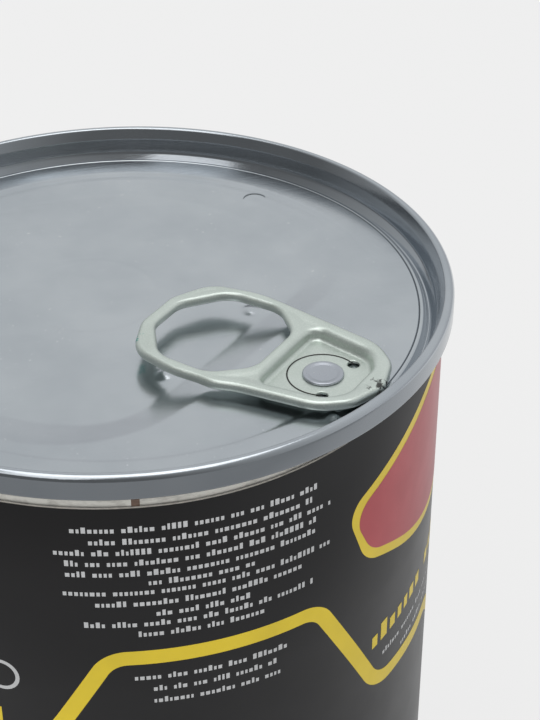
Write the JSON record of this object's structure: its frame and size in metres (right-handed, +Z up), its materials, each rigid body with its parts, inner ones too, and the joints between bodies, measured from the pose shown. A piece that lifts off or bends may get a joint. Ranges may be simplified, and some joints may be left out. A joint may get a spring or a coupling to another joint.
{
  "type": "food can with easy-open end",
  "caption": "Closed cylindrical tinplate food can with double seams, easy-open end, riveted pull tab and wrap-around paper label.",
  "frame": {"origin": "middle of the surface the can stands on, under the middle of its bottom seam", "axes": "+Z up along the can's axis; +X from that axis towards the rivet of the pull tab"},
  "size_m": [0.0762, 0.0762, 0.11],
  "materials": {
    "tinplate_wall": "satin",
    "tinplate_end": "satin",
    "lacquered_end": "satin lacquer",
    "lacquered_tab": "satin lacquer",
    "label_paper": "coated, printed"
  },
  "bodies": {
    "root": {"can_body": "tinplate_wall", "bottom_end": "tinplate_end", "easy_open_end": "lacquered_end", "pull_tab": "lacquered_tab", "paper_label": "label_paper"}
  },
  "joints": []
}
